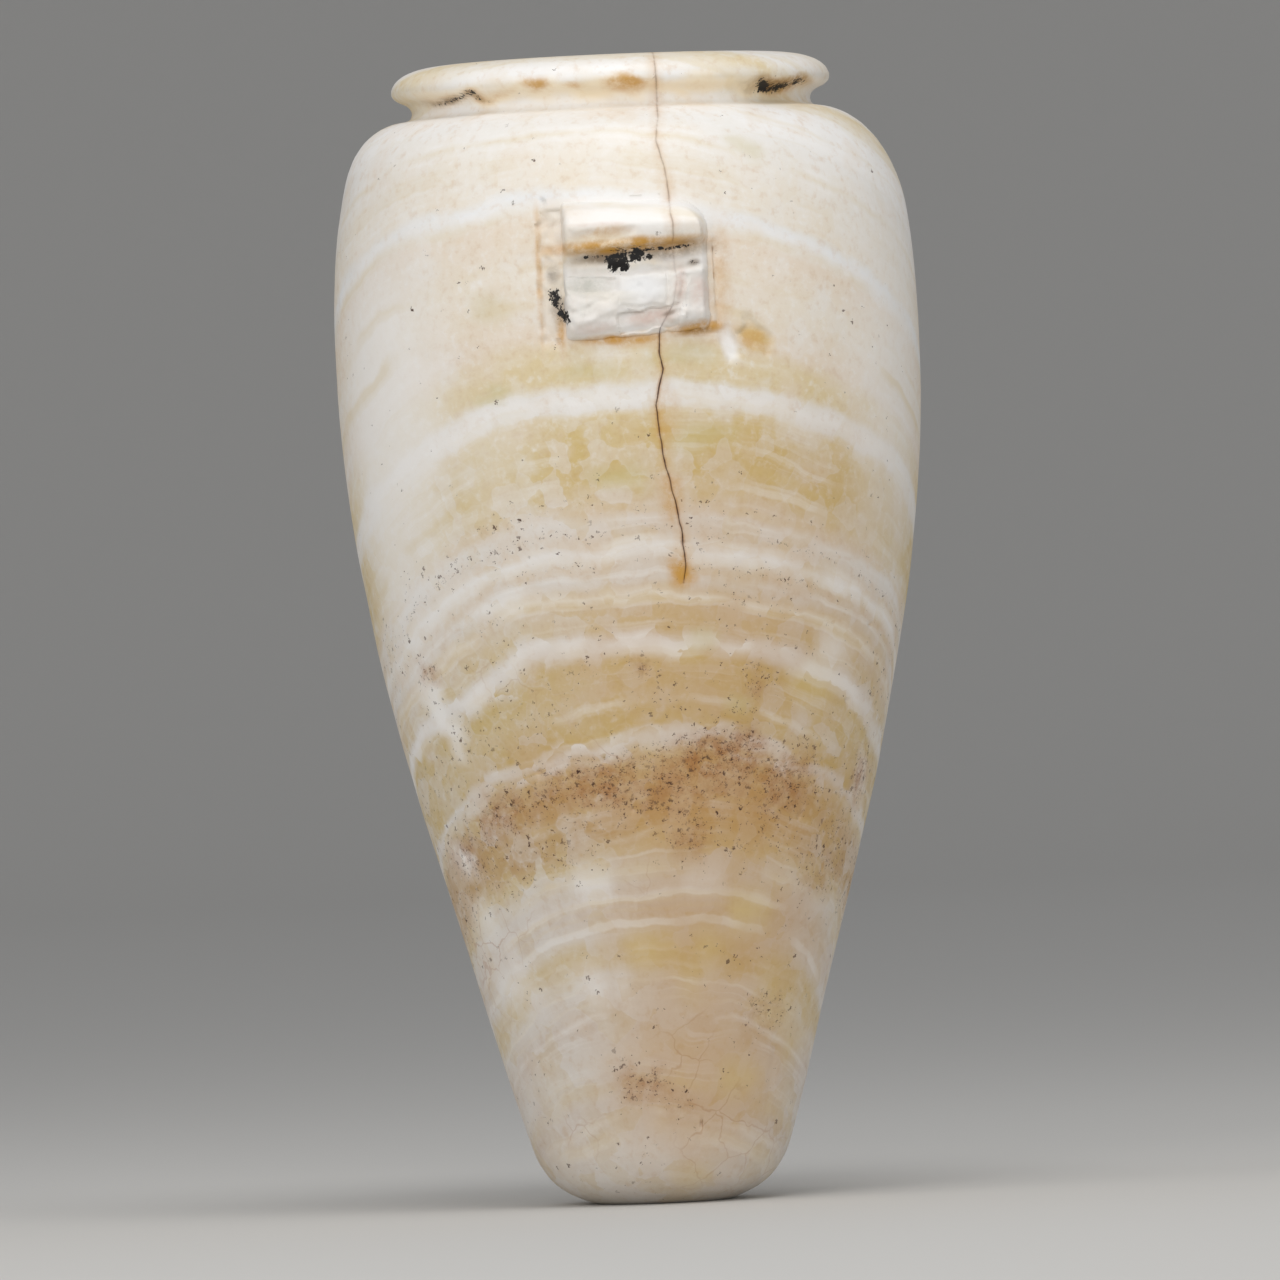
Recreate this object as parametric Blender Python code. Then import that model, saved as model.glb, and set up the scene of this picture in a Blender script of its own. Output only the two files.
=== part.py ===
"""A tall storage jar with two lugs, ground and drilled from one block of banded travertine.

The body is turned about +Z and stands on the small flat of its foot, whose centre is the origin.
The front lug, towards -Y, has lost the outer half of its cord hole. The back lug is whole.
All sizes are in metres.
"""

import math

import bmesh
import bpy
from mathutils import Matrix, Vector
from mathutils.geometry import interpolate_bezier

# Heights of the outside, stacked from the foot up, together 340 mm
FOOT_HEIGHT = 0.0183
FLANK_HEIGHT = 0.0864
BELLY_RISE = 0.1458
SHOULDER_HEIGHT = 0.0741
NECK_HEIGHT = 0.0022
UNDERLIP_HEIGHT = 0.0056
LIP_HEIGHT = 0.0076

# Radii of the outside
FOOT_FLAT_RADIUS = 0.0190
FOOT_RADIUS = 0.0392
FLANK_RADIUS = 0.0634
BELLY_RADIUS = 0.0873
NECK_RADIUS = 0.0596

# Rim: a rolled lip over a short neck, with a narrow flat on top for a lid
LIP_OVERHANG = 0.0058
RIM_FLAT_WIDTH = 0.0042
MOUTH_EDGE = 0.0012
NECK_FILLET = 0.0010
RIM_OFFSET = -0.0018  # the mouth was ground a little off the body's axis, along X
RIM_OFFSET_RISE = 0.0300  # the neck leans out to that offset over this height

# Inside
NECK_WALL = 0.0151
NECK_UNDERCUT = 0.0085  # the drill hole runs on this far below the neck before it widens
BELLY_WALL = 0.0120
FOOT_WALL = 0.0206  # beside the rounded end of the cavity
FLOOR_THICKNESS = 0.0400
BOWL_HEIGHT = 0.0260

# Lugs, both on the shoulder
LUG_WIDTH = 0.0438
LUG_HEIGHT = 0.0420
LUG_RISE = 0.0258  # from the belly up to the middle of a lug
LUG_EDGE = 0.0012
LUG_SKIN = 0.0040  # stone outside the cord hole of the whole lug

# Cord holes: drilled along X, just clear of the wall
HOLE_RADIUS = 0.0042
HOLE_CLEAR = 0.0001
HOLE_RISE = 0.0018  # from the middle of the lug up to the hole's axis
FRONT_HOLE_TILT = math.radians(4.4)  # climbs towards +X
HOLE_OVERRUN = 0.0060

# What is left of the front lug: shares of how proud a whole lug is, at shares of its height
BROKEN_SECTION = (
    (0.00, 0.500),
    (0.34, 0.400),
    (0.57, 0.295),
    (0.40, 0.120),
    (0.33, -0.070),
    (0.25, -0.395),
    (0.00, -0.490),
)

# Flat scars on the broken lug: shares across and up of the scar's middle, how far it lies under
# the face there, and the way it faces
SCARS = (
    (-0.27, -0.30, 0.0009, (-0.080, -1.0, 0.050)),
    (0.36, -0.30, 0.0004, (0.085, -1.0, -0.020)),
    (0.30, -0.42, 0.0016, (0.120, -0.62, -0.78)),
    (0.46, 0.42, 0.0010, (0.70, -0.30, 0.64)),
)
SCAR_SPAN = (1.00, 0.30, 0.48)  # as shares of the lug's width, width and height

# Pulls of the outline's curves, as shares of the stretch that each one crosses
FOOT_LIFT = math.radians(13.5)
FOOT_PULLS = (0.65, 0.50)
BELLY_PULLS = (0.28, 0.36)
SHOULDER_PULLS = (0.65, 0.80)
SHOULDER_SLOPE = 0.11
LIP_PULLS = (0.46, 0.46)
NOSE_PULLS = (0.60, 0.60)
INSIDE_SHOULDER_SLOPE = 0.42
INSIDE_SHOULDER_PULLS = (0.75, 0.55)
INSIDE_BELLY_PULLS = (0.42, 0.30)
ROUND_PULL = 0.55  # a quarter circle's

# Fineness of the faceted solid
TURN_STEPS = 72
FOOT_STEPS = 5
FLANK_STEPS = 3
BELLY_STEPS = 9
SHOULDER_STEPS = 10
NECK_STEPS = 2
LIP_STEPS = 4
NOSE_STEPS = 5
EDGE_STEPS = 2
INSIDE_STEPS = 7
LUG_STEPS = 12
HOLE_STEPS = 20
WELD = 0.00001

STONE_COLOUR = (0.80, 0.70, 0.54, 1.0)
STONE_ROUGHNESS = 0.38
SHARP_ANGLE = math.radians(35.0)

# Heights worked out from the stack
FLANK_TOP = FOOT_HEIGHT + FLANK_HEIGHT
BELLY_TOP = FLANK_TOP + BELLY_RISE
NECK_ROOT = BELLY_TOP + SHOULDER_HEIGHT
NECK_WAIST = NECK_ROOT + NECK_HEIGHT
LIP_NOSE = NECK_WAIST + UNDERLIP_HEIGHT
JAR_TOP = LIP_NOSE + LIP_HEIGHT
BOWL_TOP = FLOOR_THICKNESS + BOWL_HEIGHT
LUG_MIDDLE = BELLY_TOP + LUG_RISE

# Sizes worked out from what they fit
MOUTH_RADIUS = NECK_RADIUS - NECK_WALL
LUG_PROUD = HOLE_CLEAR + 2 * HOLE_RADIUS + LUG_SKIN
LUG_ROOT = BELLY_WALL / 2  # how deep a lug's own solid reaches into the wall


def clear_scene():
    for thing in list(bpy.data.objects):
        bpy.data.objects.remove(thing)


def make_travertine():
    stone = bpy.data.materials.new("banded travertine")
    stone.use_nodes = True
    shader = stone.node_tree.nodes["Principled BSDF"]
    shader.inputs["Base Color"].default_value = STONE_COLOUR
    shader.inputs["Roughness"].default_value = STONE_ROUGHNESS
    shader.inputs["Metallic"].default_value = 0.0
    return stone


def add_object(name, mesh_builder, stone):
    """A new object with its mesh taken from a bmesh, cleaned, facing out and shaded smooth."""
    bmesh.ops.remove_doubles(mesh_builder, verts=mesh_builder.verts, dist=WELD)
    bmesh.ops.recalc_face_normals(mesh_builder, faces=mesh_builder.faces)
    mesh = bpy.data.meshes.new(name)
    mesh_builder.to_mesh(mesh)
    mesh_builder.free()
    mesh.shade_smooth()
    mesh.set_sharp_from_angle(angle=SHARP_ANGLE)
    mesh.materials.append(stone)
    thing = bpy.data.objects.new(name, mesh)
    bpy.context.scene.collection.objects.link(thing)
    return thing


def add_guide(name, mesh_builder, stone):
    """An object that only shapes the jar and isn't a piece of its own."""
    guide = add_object(name, mesh_builder, stone)
    guide.hide_render = True
    guide.display_type = "WIRE"
    return guide


def combine(thing, guide, operation):
    step = thing.modifiers.new(guide.name, "BOOLEAN")
    step.operation = operation
    step.solver = "EXACT"
    step.object = guide


def at(radius, height):
    return Vector((radius, 0.0, height))


def curve(start, start_way, end, end_way, pulls, steps):
    """Points after start up to end, leaving along start_way and arriving along end_way."""
    points = interpolate_bezier(
        start,
        start + start_way.normalized() * pulls[0],
        end - end_way.normalized() * pulls[1],
        end,
        steps + 1,
    )
    return points[1:]


def outside_points():
    """The body's outside from the rim of the foot's flat up to the root of the neck."""
    up = at(0.0, 1.0)
    flat_rim = at(FOOT_FLAT_RADIUS, 0.0)
    foot = at(FOOT_RADIUS, FOOT_HEIGHT)
    flank = at(FLANK_RADIUS, FLANK_TOP)
    belly = at(BELLY_RADIUS, BELLY_TOP)
    root = at(NECK_RADIUS + NECK_FILLET, NECK_ROOT)
    underside = at(math.cos(FOOT_LIFT), math.sin(FOOT_LIFT))
    foot_pulls = (
        (FOOT_RADIUS - FOOT_FLAT_RADIUS) * FOOT_PULLS[0],
        FOOT_HEIGHT * FOOT_PULLS[1],
    )
    shoulder_pulls = (
        SHOULDER_HEIGHT * SHOULDER_PULLS[0],
        (BELLY_RADIUS - NECK_RADIUS) * SHOULDER_PULLS[1],
    )
    belly_pulls = [BELLY_RISE * share for share in BELLY_PULLS]
    points = [flat_rim]
    points += curve(flat_rim, underside, foot, flank - foot, foot_pulls, FOOT_STEPS)
    points += [foot.lerp(flank, step / FLANK_STEPS) for step in range(1, FLANK_STEPS + 1)]
    points += curve(flank, flank - foot, belly, up, belly_pulls, BELLY_STEPS)
    points += curve(belly, up, root, at(-1.0, SHOULDER_SLOPE), shoulder_pulls, SHOULDER_STEPS)
    return points


def rim_points():
    """From the root of the neck over the lip to the mouth's edge."""
    up = at(0.0, 1.0)
    inward = at(-1.0, 0.0)
    root = at(NECK_RADIUS + NECK_FILLET, NECK_ROOT)
    waist = at(NECK_RADIUS, NECK_WAIST)
    nose = at(NECK_RADIUS + LIP_OVERHANG, LIP_NOSE)
    flat_start = at(MOUTH_RADIUS + MOUTH_EDGE + RIM_FLAT_WIDTH, JAR_TOP)
    flat_end = at(MOUTH_RADIUS + MOUTH_EDGE, JAR_TOP)
    mouth = at(MOUTH_RADIUS, JAR_TOP - MOUTH_EDGE)
    neck_pulls = (NECK_FILLET * ROUND_PULL, NECK_HEIGHT * ROUND_PULL)
    lip_pulls = [UNDERLIP_HEIGHT * share for share in LIP_PULLS]
    nose_pulls = (LIP_HEIGHT * NOSE_PULLS[0], (nose.x - flat_start.x) * NOSE_PULLS[1])
    edge_pulls = [MOUTH_EDGE * ROUND_PULL] * 2
    points = curve(root, inward, waist, up, neck_pulls, NECK_STEPS)
    points += curve(waist, up, nose, up, lip_pulls, LIP_STEPS)
    points += curve(nose, up, flat_start, inward, nose_pulls, NOSE_STEPS)
    points += [flat_end]
    points += curve(flat_end, inward, mouth, -up, edge_pulls, EDGE_STEPS)
    return points


def inside_points():
    """From the bottom of the drilled neck down to the middle of the cavity's floor."""
    down = at(0.0, -1.0)
    neck_end = at(MOUTH_RADIUS, NECK_ROOT - NECK_UNDERCUT)
    belly = at(BELLY_RADIUS - BELLY_WALL, BELLY_TOP)
    bowl = at(wall_radius(BOWL_TOP) - FOOT_WALL, BOWL_TOP)
    floor = at(0.0, FLOOR_THICKNESS)
    flank_way = at(FOOT_RADIUS - FLANK_RADIUS, -FLANK_HEIGHT)
    undercut = at(1.0, -INSIDE_SHOULDER_SLOPE)
    shoulder_pulls = (
        (belly.x - MOUTH_RADIUS) * INSIDE_SHOULDER_PULLS[0],
        (neck_end.z - belly.z) * INSIDE_SHOULDER_PULLS[1],
    )
    belly_pulls = [(belly.z - bowl.z) * share for share in INSIDE_BELLY_PULLS]
    bowl_pulls = (BOWL_HEIGHT * ROUND_PULL, bowl.x * ROUND_PULL)
    points = [neck_end]
    points += curve(neck_end, undercut, belly, down, shoulder_pulls, INSIDE_STEPS)
    points += curve(belly, down, bowl, flank_way, belly_pulls, INSIDE_STEPS)
    points += curve(bowl, flank_way, floor, at(-1.0, 0.0), bowl_pulls, FOOT_STEPS)
    return points


def wall_radius(height):
    """The body's outside radius at a height."""
    points = outside_points()
    for low, high in zip(points, points[1:]):
        if low.z <= height <= high.z:
            return low.lerp(high, (height - low.z) / (high.z - low.z)).x
    return NECK_RADIUS


def make_jar(stone):
    outline = [at(0.0, 0.0), *outside_points(), *rim_points(), *inside_points()]
    turned = bmesh.new()
    corners = [turned.verts.new(point) for point in outline]
    edges = [turned.edges.new(pair) for pair in zip(corners, corners[1:])]
    bmesh.ops.spin(
        turned,
        geom=corners + edges,
        axis=(0.0, 0.0, 1.0),
        cent=(0.0, 0.0, 0.0),
        angle=math.tau,
        steps=TURN_STEPS,
        use_merge=True,
    )
    for corner in turned.verts:
        lean = (corner.co.z - NECK_ROOT) / RIM_OFFSET_RISE + 1.0
        lean = min(max(lean, 0.0), 1.0)
        corner.co.x += RIM_OFFSET * lean * lean * (3.0 - 2.0 * lean)
    return add_object("jar", turned, stone)


def make_lug(name, section, stone):
    """A lug's solid towards -Y, from its section as (reach from the jar's axis, height)."""
    lug = bmesh.new()
    face = lug.faces.new([lug.verts.new((-LUG_WIDTH / 2, -reach, up)) for reach, up in section])
    grown = bmesh.ops.extrude_face_region(lug, geom=[face])["geom"]
    far_side = [part for part in grown if isinstance(part, bmesh.types.BMVert)]
    bmesh.ops.translate(lug, verts=far_side, vec=(LUG_WIDTH, 0.0, 0.0))
    end_edges = [
        edge for edge in lug.edges if abs(edge.verts[0].co.x - edge.verts[1].co.x) < WELD
    ]
    bmesh.ops.bevel(
        lug, geom=end_edges, offset=LUG_EDGE, segments=2, profile=0.5, affect="EDGES"
    )
    return add_guide(name, lug, stone)


def broken_section():
    """What is left of the front lug, top to bottom, closed inside the wall."""
    section = []
    for proud, up in BROKEN_SECTION:
        height = LUG_MIDDLE + LUG_HEIGHT * up
        section.append((wall_radius(height) + LUG_PROUD * proud, height))
    top_reach, top = section[0]
    bottom_reach, bottom = section[-1]
    section.insert(0, (top_reach - LUG_ROOT, top))
    section.append((bottom_reach - LUG_ROOT, bottom))
    return section


def whole_section():
    """The back lug's half-round roll, top to bottom, closed inside the wall."""
    depth = LUG_PROUD + LUG_ROOT
    buried = math.asin(LUG_ROOT / depth)  # the angle at which the roll leaves the wall
    half_height = LUG_HEIGHT / 2 / math.cos(buried)
    section = []
    for step in range(LUG_STEPS + 1):
        angle = math.pi * step / LUG_STEPS
        height = LUG_MIDDLE + half_height * math.cos(angle)
        section.append((wall_radius(height) - LUG_ROOT + depth * math.sin(angle), height))
    return section


def make_drill(name, tilt, stone):
    """The rod-shaped cut of a cord hole towards -Y, climbing by tilt towards +X."""
    height = LUG_MIDDLE + HOLE_RISE
    reach = wall_radius(height) + HOLE_CLEAR + HOLE_RADIUS
    drill = bmesh.new()
    bmesh.ops.create_cone(
        drill,
        cap_ends=True,
        segments=HOLE_STEPS,
        radius1=HOLE_RADIUS,
        radius2=HOLE_RADIUS,
        depth=LUG_WIDTH + 2 * HOLE_OVERRUN,
        matrix=Matrix.Translation((0.0, -reach, height))
        @ Matrix.Rotation(math.pi / 2 - tilt, 4, "Y"),
    )
    return add_guide(name, drill, stone)


def broken_face(up):
    """How proud of the wall the broken lug's section is at a share of its height."""
    for high, low in zip(BROKEN_SECTION, BROKEN_SECTION[1:]):
        if low[1] <= up <= high[1]:
            share = (up - low[1]) / (high[1] - low[1])
            return LUG_PROUD * (low[0] + (high[0] - low[0]) * share)
    return 0.0


def make_scar(number, scar, stone):
    """A block whose inner face is one flat scar on the broken lug."""
    across, up, under, facing = scar
    height = LUG_MIDDLE + LUG_HEIGHT * up
    reach = wall_radius(height) + broken_face(up) - under
    middle = Matrix.Translation((LUG_WIDTH * across, -reach, height))
    turn = Vector(facing).to_track_quat("-Y", "Z").to_matrix().to_4x4()
    wide, deep, tall = SCAR_SPAN
    size = Vector((LUG_WIDTH * wide, LUG_WIDTH * deep, LUG_HEIGHT * tall))
    block = bmesh.new()
    bmesh.ops.create_cube(
        block,
        size=1.0,
        matrix=middle
        @ turn
        @ Matrix.Translation((0.0, -size.y / 2, 0.0))
        @ Matrix.Diagonal((*size, 1.0)),
    )
    return add_guide("scar_%d" % number, block, stone)


def build():
    clear_scene()
    stone = make_travertine()
    jar = make_jar(stone)
    half_turn = math.pi

    front_lug = make_lug("front_lug", broken_section(), stone)
    for number, scar in enumerate(SCARS, start=1):
        combine(front_lug, make_scar(number, scar, stone), "DIFFERENCE")
    combine(jar, front_lug, "UNION")
    back_lug = make_lug("back_lug", whole_section(), stone)
    back_lug.rotation_euler.z = half_turn
    combine(jar, back_lug, "UNION")

    combine(jar, make_drill("front_hole", FRONT_HOLE_TILT, stone), "DIFFERENCE")
    back_hole = make_drill("back_hole", 0.0, stone)
    back_hole.rotation_euler.z = half_turn
    combine(jar, back_hole, "DIFFERENCE")


build()
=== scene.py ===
import bisect
import math

import bpy
from mathutils import Matrix, Vector, noise
from mathutils.bvhtree import BVHTree


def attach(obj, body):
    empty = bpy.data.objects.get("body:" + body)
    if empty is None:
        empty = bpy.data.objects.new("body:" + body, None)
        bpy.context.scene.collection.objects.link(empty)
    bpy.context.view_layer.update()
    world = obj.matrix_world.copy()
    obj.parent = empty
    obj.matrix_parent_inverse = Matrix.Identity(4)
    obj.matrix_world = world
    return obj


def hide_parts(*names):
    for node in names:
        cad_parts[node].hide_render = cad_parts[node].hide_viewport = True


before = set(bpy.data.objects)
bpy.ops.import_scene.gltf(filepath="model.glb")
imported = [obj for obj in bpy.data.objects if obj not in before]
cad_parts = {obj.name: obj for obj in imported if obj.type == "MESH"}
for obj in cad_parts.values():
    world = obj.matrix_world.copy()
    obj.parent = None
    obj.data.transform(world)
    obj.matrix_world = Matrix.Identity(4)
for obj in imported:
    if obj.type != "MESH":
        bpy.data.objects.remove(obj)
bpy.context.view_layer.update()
print("frame loaded")

# All sizes in the dictionaries are in millimetres and degrees
mm = 0.001
weld = 0.00001  # points closer than this, in metres, are taken for one


# Everyday helpers

def workOn(thing):
    bpy.ops.object.select_all(action="DESELECT")
    thing.select_set(True)
    bpy.context.view_layer.objects.active = thing


def editAll(thing):
    workOn(thing)
    bpy.ops.object.mode_set(mode="EDIT")
    bpy.ops.mesh.select_mode(type="VERT")
    bpy.ops.mesh.select_all(action="SELECT")


def editOff():
    bpy.ops.object.mode_set(mode="OBJECT")


def pick(thing, wanted):
    # selects the points that pass the test and stays in edit mode
    editAll(thing)
    bpy.ops.mesh.select_all(action="DESELECT")
    editOff()
    for point in thing.data.vertices:
        point.select = wanted(point)
    bpy.ops.object.mode_set(mode="EDIT")


def applyAll(thing):
    workOn(thing)
    for modifier in list(thing.modifiers):
        bpy.ops.object.modifier_apply(modifier=modifier.name)


def boolean(thing, tool, operation):
    # joins on or cuts with the tool, which is used up
    modifier = thing.modifiers.new("boolean", "BOOLEAN")
    modifier.operation = operation
    modifier.solver = "EXACT"
    modifier.object = tool
    applyAll(thing)
    bpy.data.objects.remove(tool)


def faceOut(thing):
    editAll(thing)
    bpy.ops.mesh.remove_doubles(threshold=weld)
    bpy.ops.mesh.normals_make_consistent(inside=False)
    editOff()


def copyOfNode(node, name):
    # the frame's mesh is loose triangles, so the copy is merged
    thing = bpy.data.objects.new(name, node.data.copy())
    bpy.context.collection.objects.link(thing)
    thing.data.materials.clear()
    editAll(thing)
    bpy.ops.mesh.remove_doubles(threshold=weld)
    editOff()
    return thing


def newMesh(name, points, edges=()):
    mesh = bpy.data.meshes.new(name)
    mesh.from_pydata(points, edges, [])
    thing = bpy.data.objects.new(name, mesh)
    bpy.context.collection.objects.link(thing)
    return thing


def smooth(share):
    share = min(max(share, 0.0), 1.0)
    return share * share * (3 - 2 * share)


def rough(x, z, span, seed):
    # soft noise between -1 and 1 over the front of the jar, with lumps about span wide
    return noise.noise(Vector((x / span, seed * 7.3, z / span)))


# The jar's body: the frame's own outline, made fine and turned again

jar = {
    "name": "stone_jar",
    "turns": 240,
    "leanFrom": 294.6,  # height where the neck starts to lean out to the mouth's place
    "leanTo": 324.6,
    "curvePieces": 10,  # new points between two of the frame's
    "rows": {"inside": 6.0, "outside": 1.7, "rim": 0.6},  # least spacing of the rows of faces
    "rimFrom": 318.0,
    "hollows": 0.7,  # depth of the soft hollows that grinding by hand left
    "hollowSpan": 34.0,
    "hollowFade": 12.0,  # height over which they fade out at the foot, twice that at the rim
    "sharpFrom": 42.0,  # an edge that turns by more than this stays sharp
}


def leanAt(height):
    low, high = jar["leanFrom"] * mm, jar["leanTo"] * mm
    return smooth((height - low) / (high - low))


def mouthShift(cad, top):
    ring = [point.co.x for point in cad.data.vertices if point.co.z > top - weld]
    return (min(ring) + max(ring)) / 2


def makeOutline(cad, shift):
    # half the section, from the middle of the foot round the lip to the middle of the cavity
    outline = copyOfNode(cad, "outline")
    editAll(outline)
    bpy.ops.mesh.bisect(
        plane_co=(0, 0, 0), plane_no=(0, 1, 0), clear_inner=True, clear_outer=True, threshold=weld
    )
    editOff()
    for point in outline.data.vertices:
        point.co.x -= shift * leanAt(point.co.z)
        point.co.y = 0.0
    pick(outline, lambda point: point.co.x < -weld)
    bpy.ops.mesh.delete(type="VERT")
    bpy.ops.mesh.select_all(action="SELECT")
    bpy.ops.mesh.delete(type="ONLY_FACE")
    bpy.ops.mesh.select_all(action="SELECT")
    bpy.ops.mesh.remove_doubles(threshold=weld)
    editOff()
    # a smooth curve through the same points
    workOn(outline)
    bpy.ops.object.convert(target="CURVE")
    bpy.ops.object.mode_set(mode="EDIT")
    bpy.ops.curve.select_all(action="SELECT")
    bpy.ops.curve.spline_type_set(type="BEZIER")
    bpy.ops.curve.handle_type_set(type="AUTOMATIC")
    editOff()
    outline.data.splines[0].resolution_u = jar["curvePieces"]
    bpy.ops.object.convert(target="MESH")
    return bpy.context.object


def makeBody(cad):
    top = max(point.co.z for point in cad.data.vertices)
    shift = mouthShift(cad, top)
    body = makeOutline(cad, shift)
    body.name = jar["name"]
    points = body.data.vertices
    flatEnd = max(point.index for point in points if point.co.z > top - weld * 5)
    footFirst = points[0].co.z < points[len(points) - 1].co.z
    if not footFirst:
        flatEnd = min(point.index for point in points if point.co.z > top - weld * 5)
    zones = {name: body.vertex_groups.new(name=name) for name in jar["rows"]}
    skin = body.vertex_groups.new(name="skin")
    wall = []
    fade = jar["hollowFade"] * mm
    for point in points:
        point.co.z = min(max(point.co.z, 0.0), top)
        height = point.co.z
        isOutside = point.index <= flatEnd if footFirst else point.index >= flatEnd
        zone = "outside" if isOutside else "inside"
        if height > jar["rimFrom"] * mm:
            zone = "rim"
        zones[zone].add([point.index], 1.0, "REPLACE")
        if isOutside:
            skin.add([point.index], smooth(height / fade) * smooth((top - height) / fade / 2), "REPLACE")
            if height < jar["leanTo"] * mm:
                wall.append((height, point.co.x))
    for name, zone in zones.items():
        editAll(body)
        bpy.ops.mesh.select_all(action="DESELECT")
        body.vertex_groups.active_index = zone.index
        bpy.ops.object.vertex_group_select()
        bpy.ops.mesh.remove_doubles(threshold=jar["rows"][name] * mm)
        editOff()
    # both ends of the outline go back to the axis, so that the turned body is closed
    uses = [0] * len(body.data.vertices)
    for edge in body.data.edges:
        for index in edge.vertices:
            uses[index] += 1
    for point in body.data.vertices:
        if uses[point.index] == 1:
            point.co.x = 0.0
    editAll(body)
    bpy.ops.mesh.spin(steps=jar["turns"], angle=math.tau, center=(0, 0, 0), axis=(0, 0, 1))
    editOff()
    faceOut(body)
    texture = bpy.data.textures.new("hand ground hollows", "CLOUDS")
    texture.noise_scale = jar["hollowSpan"] * mm
    texture.noise_depth = 1
    hollows = body.modifiers.new("hollows", "DISPLACE")
    hollows.texture = texture
    hollows.texture_coords = "LOCAL"
    hollows.vertex_group = skin.name
    hollows.mid_level = 1.0
    hollows.strength = jar["hollows"] * mm
    applyAll(body)
    for point in body.data.vertices:
        point.co.x += shift * leanAt(point.co.z)
    body.vertex_groups.clear()
    return body, sorted(wall)


def wallRadius(height):
    # the outside radius at a height, in metres, up to the neck
    above = min(max(bisect.bisect_left(wall, (height, 0.0)), 1), len(wall) - 1)
    low, high = wall[above - 1], wall[above]
    share = (height - low[0]) / max(high[0] - low[0], weld)
    return low[1] + (high[1] - low[1]) * min(share, 1.0)


# Lugs: cut from the frame, remeshed evenly so that fine breaks can be worked in, and joined on

lugs = {
    "width": 43.8,
    "bottom": 255.4,
    "top": 297.5,
    "reach": 100.0,
    "buried": 77.0,  # how far from the axis a lug's own solid starts, inside the wall
    "margin": 0.5,
    "skirt": 0.12,  # what stands less proud than this is sunk into the wall
    "skirtSlope": 10.0,
    "skirtDepth": 3.0,
    "voxel": {"front_lug": 0.5, "back_lug": 1.0},
    "rubbing": {"front_lug": 55, "back_lug": 26},  # smoothing steps that wear the edges round
    "wornCorner": {"x": 10.5, "z": 286.0, "radius": 9.0, "edge": 3.2},  # of the broken lug, top right
}

# The broken face of the front lug: pads pressed in or left standing, each with its middle, half
# sizes, the angle it climbs at towards the right, how far it stands out and its soft edge
breakPads = (
    {"x": -14.6, "z": 271.3, "wide": 7.2, "tall": 1.8, "turn": -3, "out": -0.9, "edge": 0.9},
    {"x": 0.6, "z": 269.7, "wide": 6.3, "tall": 4.2, "turn": 2, "out": 0.5, "edge": 0.7},
    {"x": 2.0, "z": 260.6, "wide": 8.6, "tall": 2.7, "turn": 7, "out": -1.3, "edge": 0.8},
    {"x": -12.6, "z": 263.4, "wide": 6.2, "tall": 0.9, "turn": 20, "out": 0.8, "edge": 1.8},
    {"x": -17.0, "z": 259.6, "wide": 3.4, "tall": 1.6, "turn": 0, "out": 0.5, "edge": 1.6},
    {"x": 9.6, "z": 267.0, "wide": 0.7, "tall": 6.6, "turn": -4, "out": 0.45, "edge": 1.0},
    {"x": 12.1, "z": 267.5, "wide": 0.5, "tall": 5.6, "turn": -8, "out": -0.7, "edge": 0.9},
    {"x": 17.8, "z": 268.2, "wide": 3.2, "tall": 5.0, "turn": 0, "out": -0.25, "edge": 0.8},
    {"x": -10.5, "z": 285.0, "wide": 8.0, "tall": 0.8, "turn": 3, "out": -0.5, "edge": 2.2},
    {"x": -18.5, "z": 265.6, "wide": 2.4, "tall": 1.4, "turn": -25, "out": 0.6, "edge": 1.2},
    {"x": 10.4, "z": 261.6, "wide": 2.2, "tall": 1.6, "turn": -30, "out": 0.8, "edge": 1.1},
)
crystalRoughness = ((5.2, 0.36, 1), (2.1, 0.24, 2), (1.0, 0.10, 3))  # span, height, seed
crustLumps = (  # black crust in the open cord hole: x, z, radius
    (-6.4, 278.6, 1.9), (-4.6, 277.2, 1.6), (-7.8, 277.4, 1.4),
    (-5.4, 275.6, 1.0), (-0.8, 279.6, 1.6), (0.9, 278.6, 1.1),
)


def padAt(pad, x, z):
    # 1 on the pad, falling to 0 over its soft, uneven edge
    turn = math.radians(pad["turn"])
    right = x - pad["x"] + 1.1 * rough(x, z, 3.6, 21)
    up = z - pad["z"] + 0.9 * rough(x, z, 3.6, 22)
    across = right * math.cos(turn) + up * math.sin(turn)
    along = up * math.cos(turn) - right * math.sin(turn)
    return smooth(1 - max(abs(across) - pad["wide"], abs(along) - pad["tall"]) / pad["edge"])


def cutOutLug(cad, name, side):
    block = copyOfNode(cad, name)
    middle = (lugs["bottom"] + lugs["top"]) / 2 * mm
    depth = (lugs["reach"] - lugs["buried"]) * mm
    bpy.ops.mesh.primitive_cube_add(
        size=1.0,
        location=(0, side * (lugs["buried"] * mm + depth / 2), middle),
        scale=(
            (lugs["width"] + 2 * lugs["margin"]) * mm,
            depth,
            (lugs["top"] - lugs["bottom"] + 2 * lugs["margin"]) * mm,
        ),
    )
    boolean(block, bpy.context.object, "INTERSECT")
    return block


def remeshLug(block, name):
    remesh = block.modifiers.new("even", "REMESH")
    remesh.mode = "VOXEL"
    remesh.voxel_size = lugs["voxel"][name] * mm
    rub = block.modifiers.new("rubbed", "SMOOTH")
    rub.factor = 0.5
    rub.iterations = lugs["rubbing"][name]
    applyAll(block)


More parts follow.
